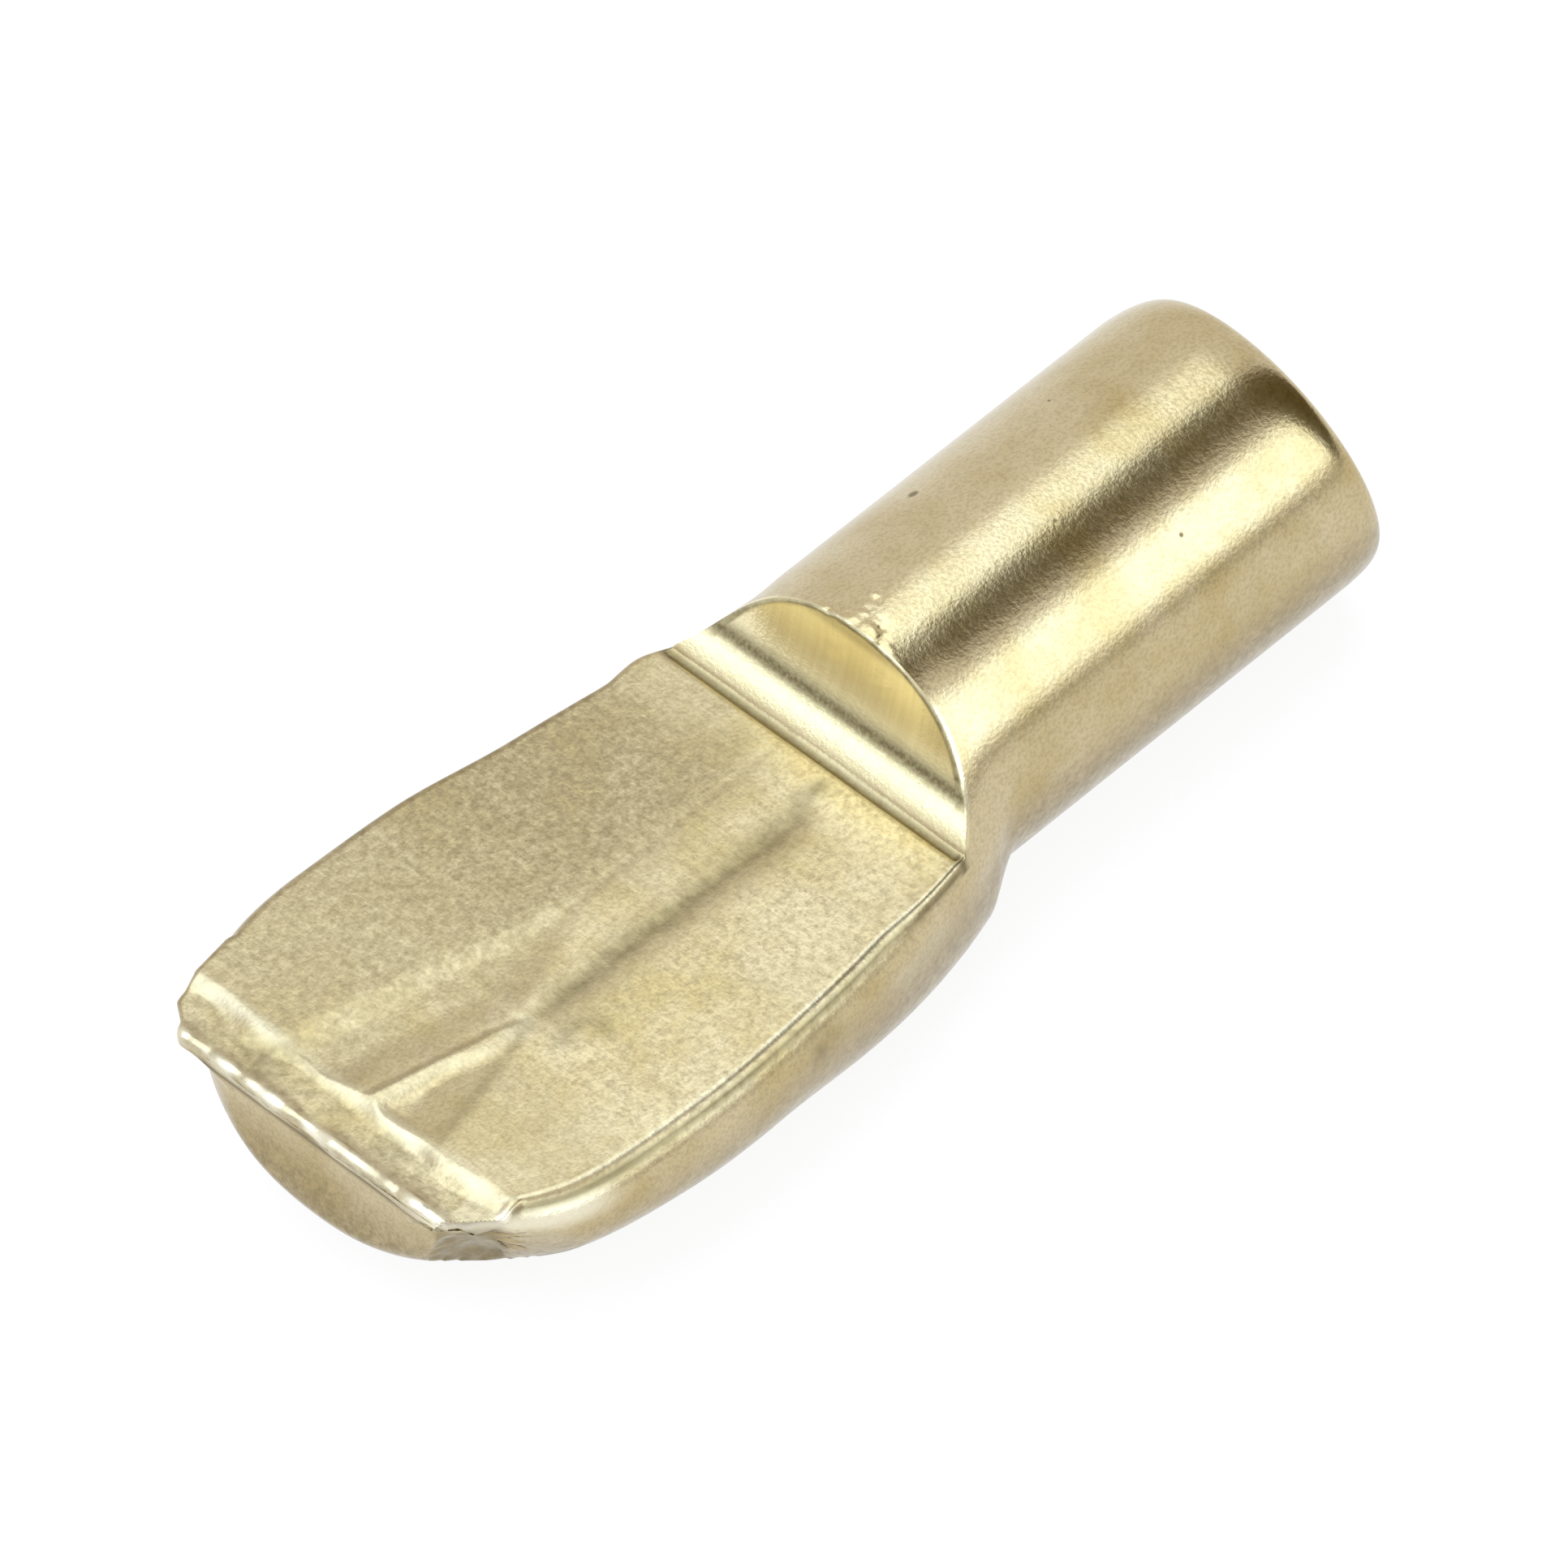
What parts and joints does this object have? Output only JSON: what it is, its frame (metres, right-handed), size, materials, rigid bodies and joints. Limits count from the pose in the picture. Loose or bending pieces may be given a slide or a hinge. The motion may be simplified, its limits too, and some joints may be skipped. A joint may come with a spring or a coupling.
{
  "type": "shelf support pin",
  "caption": "Brass-plated shelf pin: a round stem for a drilled cabinet side and a pressed, spoon-shaped blade with a flat seat that carries the shelf.",
  "frame": {"origin": "on the stem's axis, at the plane where the swelling beside the shoulder stops it in its hole", "axes": "+X along the stem towards its free end, +Z out of the seat that the shelf rests on, +Y to the left seen from the blade's tip"},
  "size_m": [0.0192, 0.0073, 0.005],
  "materials": {
    "brass_plate": "pale brass plate, satin with fine pits and press marks"
  },
  "bodies": {
    "root": {"shelf_pin": "brass_plate"}
  },
  "joints": []
}
